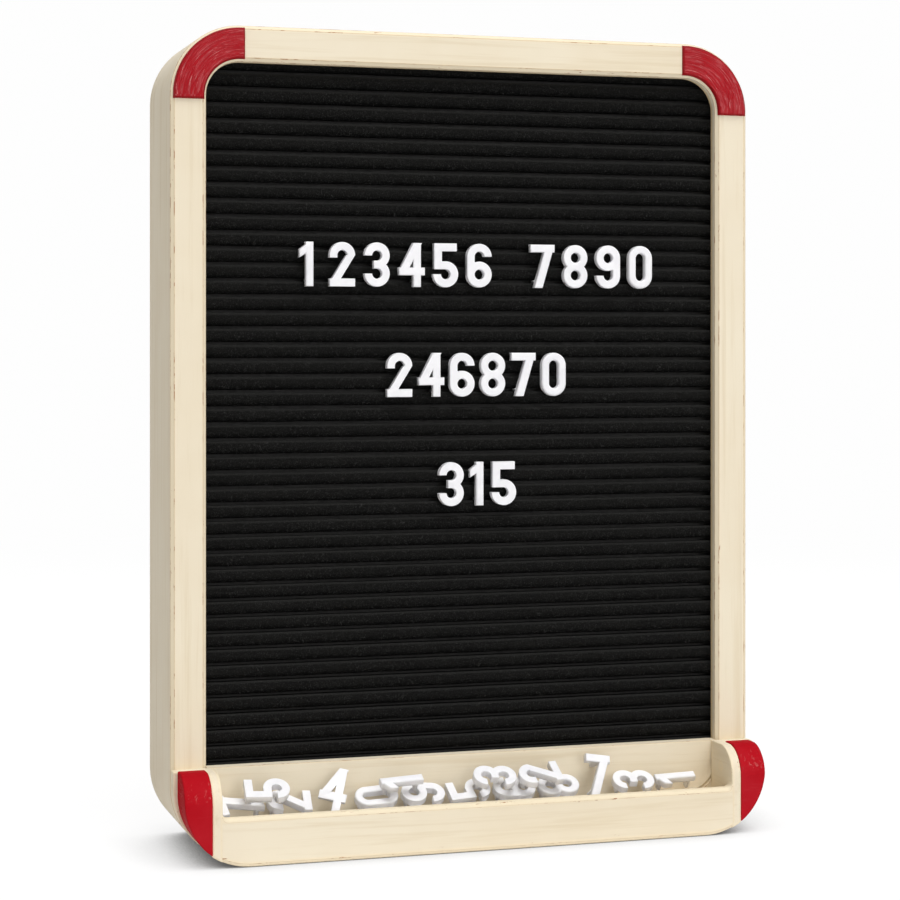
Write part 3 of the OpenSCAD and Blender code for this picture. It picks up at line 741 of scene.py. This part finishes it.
# A copy in fine voxels with its edges rubbed round, for pieces whose edges meet in curves
def sandNode(nodeName, material, voxel, passes, reach):
    bm, middle = cleanCopy(nodeName)
    samples = []
    for edge in sharpEdges(bm):
        a, b = (v.co.copy() for v in edge.verts)
        count = max(1, round((b - a).length / cleanSet["sampleStep"]))
        samples += [a.lerp(b, i / count) for i in range(count + 1)]
    ridges = kdtree.KDTree(len(samples))
    for i, place in enumerate(samples):
        ridges.insert(place, i)
    ridges.balance()
    mesh = bpy.data.meshes.new(nodeName + "Rough")
    bm.normal_update()
    bmesh.ops.triangulate(bm, faces=[f for f in bm.faces if len(f.verts) > 4])
    bm.to_mesh(mesh)
    bm.free()
    rough = bpy.data.objects.new(nodeName + "Rough", mesh)
    bpy.context.collection.objects.link(rough)
    remesh = rough.modifiers.new("voxels", "REMESH")
    remesh.mode = "VOXEL"
    remesh.voxel_size = voxel
    smooth = rough.modifiers.new("sanding", "SMOOTH")
    smooth.factor = 0.5
    smooth.iterations = passes
    done = rough.evaluated_get(bpy.context.evaluated_depsgraph_get())
    bm = bmesh.new()
    bm.from_mesh(done.to_mesh())
    done.to_mesh_clear()
    bpy.data.objects.remove(rough)
    layer = bm.verts.layers.float.new("edge")
    for vert in bm.verts:
        vert[layer] = max(0.0, 1.0 - ridges.find(vert.co)[2] / reach)
    putBack(bm, middle)
    body = frame["nodes"][nodeName]["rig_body"]
    return newPiece(nodeName + "_sanded", bm, material, [nodeName], body, sharpAngle=60)


# Edge values of the swept pieces
edgeLine, edgeChamfer, edgeBeside, edgeFlat, edgeRecessShade = 1.0, 0.7, 0.35, 0.0, -1.0

# The frame's stock, seen from its end: x runs inwards from the outer edge, y back from the face
stockSet = {
    "faceWidth": board[1].x - board[0].x,
    "recess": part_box("felt_covers")[0].y - faceY,
    "wall": 8 * mm,
    "depth": board[1].y - faceY,
    "chamfer": 1.4 * mm,
    "rearChamfer": 0.9 * mm,
    "rearEdge": 0.6,  # edge value of the rear inner edge
    "softening": 0.35 * mm,
    "wearReach": 0.9 * mm,
    "lineReach": 0.3 * mm,
    "endShare": 0.4,  # of the softening, left between the chamfer's last point and its end
    "arcSteps": 3,
    "cornerSteps": 30,
    "stileSteps": 12,
    "railSteps": 8,
    "stub": 1.5 * mm,
}


# A chamfer with softened ends: its corner point, then the directions in which its two faces run off
def chamferPoints(cornerX, cornerY, cut, first, second):
    s = stockSet
    corner, a, b = Vector((cornerX, cornerY)), Vector(first), Vector(second)
    soft = s["softening"]
    beside = cut + soft * (math.sqrt(2) - 1)
    slope = (b - a).normalized()
    points = [
        (corner + a * (beside + s["wearReach"]), edgeFlat),
        (corner + a * (beside + s["lineReach"]), edgeBeside),
    ]
    for centre, start, end in (
        (corner + a * beside + b * soft, -b, -(a + b).normalized()),
        (corner + b * beside + a * soft, -(a + b).normalized(), -a),
    ):
        for i in range(s["arcSteps"] + 1):
            points.append((centre + start.slerp(end, i / s["arcSteps"]) * soft, edgeLine))
        if end != -a:
            points.append((points[-1][0] + slope * s["lineReach"], edgeChamfer))
            beforeEnd = s["lineReach"] + soft * s["endShare"]
            points.append((corner + b * cut - slope * beforeEnd, edgeChamfer))
    points.append((corner + b * (beside + s["lineReach"]), edgeBeside))
    points.append((corner + b * (beside + s["wearReach"]), edgeFlat))
    return [(place.x, place.y, edge) for place, edge in points]


def stockSection():
    s = stockSet
    points = chamferPoints(0.0, 0.0, s["chamfer"], (0, 1), (1, 0))
    points += chamferPoints(s["faceWidth"], 0.0, s["chamfer"], (-1, 0), (0, 1))
    # the recess wall's inner points carry the painted shade
    points.append((s["faceWidth"], s["recess"], edgeRecessShade))
    points.append((s["wall"], s["recess"], edgeFlat))
    points.append((s["wall"], s["depth"], s["rearEdge"]))
    points += chamferPoints(0.0, s["depth"], s["rearChamfer"], (1, 0), (0, -1))
    return points


def sweepStock(name, stations, material, nodeName):
    bm = bmesh.new()
    layer = bm.verts.layers.float.new("edge")
    section = stockSection()
    rings = []
    for outerX, outerZ, inX, inZ in stations:
        ring = []
        for x, y, edge in section:
            vert = bm.verts.new((outerX + inX * x, faceY + y, outerZ + inZ * x))
            vert[layer] = edge
            ring.append(vert)
        rings.append(ring)
    count = len(section)
    for a, b in zip(rings, rings[1:]):
        for i in range(count):
            bm.faces.new((a[i], a[(i + 1) % count], b[(i + 1) % count], b[i]))
    bm.faces.new(rings[0])
    bm.faces.new(rings[-1])
    bmesh.ops.recalc_face_normals(bm, faces=bm.faces)
    return newPiece(name, bm, material, [nodeName], "board", sharpAngle=50)


def makeFrame():
    block = cornerRadius + stockSet["stub"]
    for side, word in ((-1, "left"), (1, "right")):
        steps = stockSet["stileSteps"]
        heights = [block + (boardTop - 2 * block) * i / steps for i in range(steps + 1)]
        stations = [(side * boardHalf, z, -side, 0) for z in heights]
        sweepStock(word + "_stile_painted", stations, "creamStile", word + "_stile")
    for up, word in ((1, "top"), (-1, "bottom")):
        steps = stockSet["railSteps"]
        places = [-boardHalf + block + 2 * (boardHalf - block) * i / steps for i in range(steps + 1)]
        stations = [(x, boardTop if up > 0 else 0.0, 0, -up) for x in places]
        sweepStock(word + "_rail_painted", stations, "creamRail", word + "_rail")
    steps = stockSet["cornerSteps"]
    for side, sideWord in ((-1, "left"), (1, "right")):
        for up, upWord in ((1, "top"), (-1, "bottom")):
            centreX = side * cornerCentre[0]
            centreZ = cornerCentre[1] if up > 0 else cornerRadius
            stations = [(side * boardHalf, centreZ - up * stockSet["stub"], -side, 0)]
            for i in range(steps + 1):
                a = math.pi / 2 * i / steps
                inX, inZ = -side * math.cos(a), -up * math.sin(a)
                stations.append((centreX - inX * cornerRadius, centreZ - inZ * cornerRadius, inX, inZ))
            stations.append((centreX - side * stockSet["stub"], centreZ + up * cornerRadius, 0, -up))
            sweepStock(
                f"{upWord}_{sideWord}_corner_painted", stations, "creamStile", f"{upWord}_{sideWord}_corner"
            )


makeFrame()
print("frame is painted")

inlaySet = {
    "thickness": 1.2 * mm,
    "outerBorder": 0.9 * mm,
    "innerBorder": 0.9 * mm,
    "rounding": 1.0 * mm,
    "sunk": 0.9 * mm,  # the skirt runs this far into the frame's rounded edge
    "rimShare": 0.12,  # height at the rim, as a share of the thickness
    "wobble": 0.06 * mm,
    "wobbleScale": 260,
    "cornerRounding": 1.2 * mm,
    "arcSteps": 64,
    "crossSteps": 22,
}


def makeInlay(side, word):
    s = inlaySet
    inner = cornerRadius - stockSet["faceWidth"] + s["innerBorder"]
    outer = cornerRadius - s["outerBorder"]
    middle = (inner + outer) / 2
    stub = stockSet["stub"]
    length = middle * math.pi / 2 + 2 * stub
    halfWidth = (outer - inner) / 2

    def eased(count):  # steps are closer at both ends
        return [0.5 - 0.5 * math.cos(math.pi * i / count) for i in range(count + 1)]

    def depthAt(along, across):
        # distance to the nearest edge, with round corners
        dx = min(along, length - along)
        dy = halfWidth - abs(across)
        c = s["cornerRounding"]
        if dx < c and dy < c:
            near = c - math.hypot(c - dx, c - dy)
        else:
            near = min(dx, dy)
        scale = s["wobbleScale"]
        wobble = s["wobble"] * noise.noise(Vector((along * scale, across * scale, side * 5.0)))
        near = max(0.0, min(near + wobble, s["rounding"]))
        share = 1 - near / s["rounding"]
        dome = math.sqrt(max(0.0, 1 - share * share))
        return near, s["thickness"] * (s["rimShare"] + (1 - s["rimShare"]) * dome)

    bm = bmesh.new()
    layer = bm.verts.layers.float.new("edge")
    rows = []
    for u in eased(s["arcSteps"]):
        along = u * length
        row = []
        for v in eased(s["crossSteps"]):
            across = (v - 0.5) * 2 * halfWidth
            radius = middle + across
            if along < stub:
                place = (radius, along - stub)
            elif along > length - stub:
                place = (length - stub - along, radius)
            else:
                a = (along - stub) / middle
                place = (radius * math.cos(a), radius * math.sin(a))
            near, height = depthAt(along, across)
            vert = bm.verts.new(
                (side * (cornerCentre[0] + place[0]), faceY - height, cornerCentre[1] + place[1])
            )
            vert[layer] = 1 - min(1.0, near / s["rounding"])
            row.append(vert)
        rows.append(row)
    for a, b in zip(rows, rows[1:]):
        for i in range(len(a) - 1):
            bm.faces.new((a[i], a[i + 1], b[i + 1], b[i]))
    rim = [e for e in bm.edges if e.is_boundary]
    made = bmesh.ops.extrude_edge_only(bm, edges=rim)
    lower = [g for g in made["geom"] if isinstance(g, bmesh.types.BMVert)]
    for vert in lower:
        vert.co.y = faceY + s["sunk"]
        vert[layer] = 1.0
    bmesh.ops.holes_fill(bm, edges=[e for e in bm.edges if e.is_boundary], sides=0)
    bmesh.ops.recalc_face_normals(bm, faces=bm.faces)
    nodeName = word + "_corner_inlay"
    material = "red" + word.capitalize()
    newPiece(nodeName + "_brushed", bm, material, [nodeName], "board", sharpAngle=60)


makeInlay(-1, "left")
makeInlay(1, "right")
print("red corners are on")

traySet = {
    "voxel": 0.3,
    "sandPasses": 7,
    "wearReach": 2.2,
    "backRounding": 0.8,
    "backEdgesAbove": 30 * mm,  # only the upper edges of the board behind the tray are rounded
    "floorRounding": 0.3,
    "panelTop": 1.6 * mm,
    "panelFoot": 1.8 * mm,
    "fillet": 2.2 * mm,  # where the panel's top runs into the cheeks
    "joint": 0.3 * mm,  # the panel's ends run this far into the cheeks
    "topWear": (1.2, 1.9),  # where the edge value falls below a rounding, in shares of its radius
    "footWear": (1.4, 2.4),
    "besideEdge": 0.4,
    "innerEdge": 0.3,
    # edge value at the panel's ends: wear, and a painted highlight where they meet the cheeks
    "endWearAndHighlight": 0.6,
    "endWearAndHighlightReach": 1.2 * mm,
    "steps": 90,
    "arcSteps": 6,
}


def panelSection(back, front, foot, top):
    points = []

    def arc(y, z, radius, start, line):
        steps = traySet["arcSteps"]
        for i in range(steps + 1):
            a = math.radians(start + 90 * i / steps)
            edge = edgeLine if i == line else edgeChamfer
            points.append((y + radius * math.cos(a), z + radius * math.sin(a), edge))

    round1, round2 = traySet["panelTop"], traySet["panelFoot"]
    arc(back - round1, top - round1, round1, 0, None)
    arc(front + round1, top - round1, round1, 90, traySet["arcSteps"])
    topNear, topFar = traySet["topWear"]
    footNear, footFar = traySet["footWear"]
    points.append((front, top - round1 * topNear, traySet["besideEdge"]))
    points.append((front, top - round1 * topFar, edgeFlat))
    points.append((front, (top + foot) / 2, edgeFlat))
    points.append((front, foot + round2 * footFar, edgeFlat))
    points.append((front, foot + round2 * footNear, traySet["besideEdge"]))
    arc(front + round2, foot + round2, round2, 180, 1)
    points.append((front + round2 * footFar, foot, edgeFlat))
    points.append((back, foot, traySet["innerEdge"]))
    points.append((back, top - round1 * topFar, edgeFlat))
    return points


def makePanel():
    low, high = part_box("tray_front")
    half = high.x + traySet["joint"]
    bm = bmesh.new()
    layer = bm.verts.layers.float.new("edge")
    rings = []
    steps = traySet["steps"]
    places = [half * math.sin(math.pi / 2 * (2 * i / steps - 1)) for i in range(steps + 1)]
    for x in places:
        beyond = max(0.0, abs(x) - cornerCentre[0])
        foot = cornerRadius - math.sqrt(cornerRadius**2 - beyond**2)
        near = min(1.0, max(0.0, traySet["fillet"] - (high.x - abs(x))) / traySet["fillet"])
        rise = traySet["fillet"] * (1 - math.sqrt(max(0.0, 1 - near * near)))
        ring = []
        for y, z, edge in panelSection(high.y, low.y, foot, high.z):
            lift = rise if z > high.z - traySet["panelTop"] * traySet["topWear"][0] else 0.0
            vert = bm.verts.new((x, y, z + lift))
            # the panel's ends get wear and a painted highlight where they meet the cheeks
            vert[layer] = max(edge, traySet["endWearAndHighlight"] - (half - abs(x)) / traySet["endWearAndHighlightReach"])
            ring.append(vert)
        rings.append(ring)
    count = len(rings[0])
    for a, b in zip(rings, rings[1:]):
        for i in range(count):
            bm.faces.new((a[i], a[(i + 1) % count], b[(i + 1) % count], b[i]))
    bm.faces.new(rings[0])
    bm.faces.new(rings[-1])
    bmesh.ops.recalc_face_normals(bm, faces=bm.faces)
    newPiece(
        "tray_front_painted", bm, "creamRail", ["tray_front"], "board", sharpAngle=40
    )


makePanel()
for word in ("left", "right"):
    for nodeName, material, slotName in (
        (word + "_cheek", "creamDepth", "cream_paint"),
        (word + "_end_block", "redBlock", "red_paint"),
    ):
        sandNode(nodeName, material, traySet["voxel"], traySet["sandPasses"], traySet["wearReach"])
dressNode(
    "tray_back",
    "creamRail",
    traySet["backRounding"],
    lambda place: place.z > traySet["backEdgesAbove"],
)
dressNode("tray_floor", "creamRail", traySet["floorRounding"])
print("tray is finished")

feltShape = {
    "slatHeight": 4.75 * mm,
    "pitch": 6.35 * mm,
    "fill": 0.22 * mm,  # how far the nap closes each groove from either side
    "crown": 1.5 * mm,  # how far a rib's front stands out
    "squareness": 2.7,
    "depth": 5.0 * mm,
    "slack": 0.2 * mm,  # for telling which rib a point of the node belongs to
    "steps": 110,
    "arcSteps": 14,
    "wave": 0.07 * mm,
    "waveScales": (120, 3.7, 0.35),  # along a rib, from rib to rib, round its section
    "sagScales": (60, 5.1, 0.2),
    "sagOffset": 40,
}


def makeFelt():
    s = feltShape
    bm = bmesh.new()
    layer = bm.verts.layers.float.new("edge")
    low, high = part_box("felt_covers")
    front = low.y
    source = frame["nodes"]["felt_covers"].data
    count = round((high.z - low.z + s["pitch"] - s["slatHeight"]) / s["pitch"])
    widths = [0.0] * count
    for vert in source.vertices:
        k = int((vert.co.z - low.z + s["slack"]) / s["pitch"])
        if 0 <= k < count:
            widths[k] = max(widths[k], abs(vert.co.x))
    wave1, wave2, wave3 = s["waveScales"]
    sag1, sag2, sag3 = s["sagScales"]
    for k in range(count):
        z0 = low.z + k * s["pitch"] - s["fill"]
        z1 = z0 + s["slatHeight"] + 2 * s["fill"]
        middle, half = (z0 + z1) / 2, (z1 - z0) / 2
        section = [(front + s["depth"], z0 + s["fill"], 0.0)]
        for i in range(s["arcSteps"] + 1):
            a = math.pi * (i / s["arcSteps"] - 0.5)
            outwards = math.cos(a) ** (2 / s["squareness"]) if 0 < i < s["arcSteps"] else 0.0
            along = math.copysign(abs(math.sin(a)) ** (2 / s["squareness"]), a)
            section.append((front + s["crown"] * (1 - outwards), middle + half * along, 0.5 + 0.5 * along))
        section.append((front + s["depth"], z1 - s["fill"], 0.0))
        rings = []
        for j in range(s["steps"] + 1):
            x = widths[k] * (2 * j / s["steps"] - 1)
            ring = []
            for i, (y, z, across) in enumerate(section):
                wave = s["wave"] * noise.noise(Vector((x * wave1, k * wave2, i * wave3)))
                sag = s["wave"] * noise.noise(Vector((x * sag1, k * sag2 + s["sagOffset"], i * sag3)))
                vert = bm.verts.new((x, y + abs(wave), z + sag))
                vert[layer] = across
                ring.append(vert)
            rings.append(ring)
        for a, b in zip(rings, rings[1:]):
            for i in range(len(a) - 1):
                bm.faces.new((a[i], a[i + 1], b[i + 1], b[i]))
            bm.faces.new((a[-1], a[0], b[0], b[-1]))
        bm.faces.new(rings[0])
        bm.faces.new(rings[-1])
    bmesh.ops.recalc_face_normals(bm, faces=bm.faces)
    newPiece("felt_ribs", bm, "felt", ["felt_covers"], "board", sharpAngle=70)


makeFelt()
print("felt is on")

digitSet = {"frontRounding": 0.75, "segments": 4}


def frontEdges(bm):
    # the broad face without prongs is the front of each moulded digit
    todo, edges = set(bm.faces), []
    while todo:
        solid, stack = [], [next(iter(todo))]
        todo.discard(stack[0])
        while stack:
            face = stack.pop()
            solid.append(face)
            for edge in face.edges:
                for other in edge.link_faces:
                    if other in todo:
                        todo.discard(other)
                        stack.append(other)
        groups = {}
        for face in solid:
            normal = face.normal
            key = tuple(round(v, 2) for v in normal) + (round(normal.dot(face.verts[0].co), 1),)
            groups.setdefault(key, []).append(face)
        front = set(max(groups.values(), key=lambda faces: sum(f.calc_area() for f in faces)))
        edges += [
            e for f in front for e in f.edges if any(other not in front for other in e.link_faces)
        ]
    return edges


def makeDigits(nodeName):
    bm, middle = cleanCopy(nodeName)
    roundEdges(bm, frontEdges(bm), digitSet["frontRounding"], digitSet["segments"], 0)
    putBack(bm, middle)
    body = frame["nodes"][nodeName]["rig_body"]
    name = nodeName + "_moulded"
    piece = newPiece(name, bm, "plastic", [nodeName], body, sharpAngle=50)
    weighNormals(piece)


for nodeName in sorted(frame["nodes"]):
    if nodeName.startswith("row") or nodeName.startswith("loose_"):
        makeDigits(nodeName)
print("digits are moulded")

# These nodes keep the frame's own mesh
keptFinish = {
    "groove_board": "darkBoard",
    "slat_cores": "slatWood",
    "spacer_battens": "battenWood",
    "back_panel": "backBoard",
    "frame_dowels": "battenWood",
    "tray_dowels": "slatWood",
    "back_screws": "zinc",
    "left_hanger": "zinc",
    "right_hanger": "zinc",
    "hanger_screws": "zinc",
}
for nodeName, material in keptFinish.items():
    node = frame["nodes"][nodeName]
    node.data.materials.clear()
    node.data.materials.append(finish[material])
print("the rest has its finish")
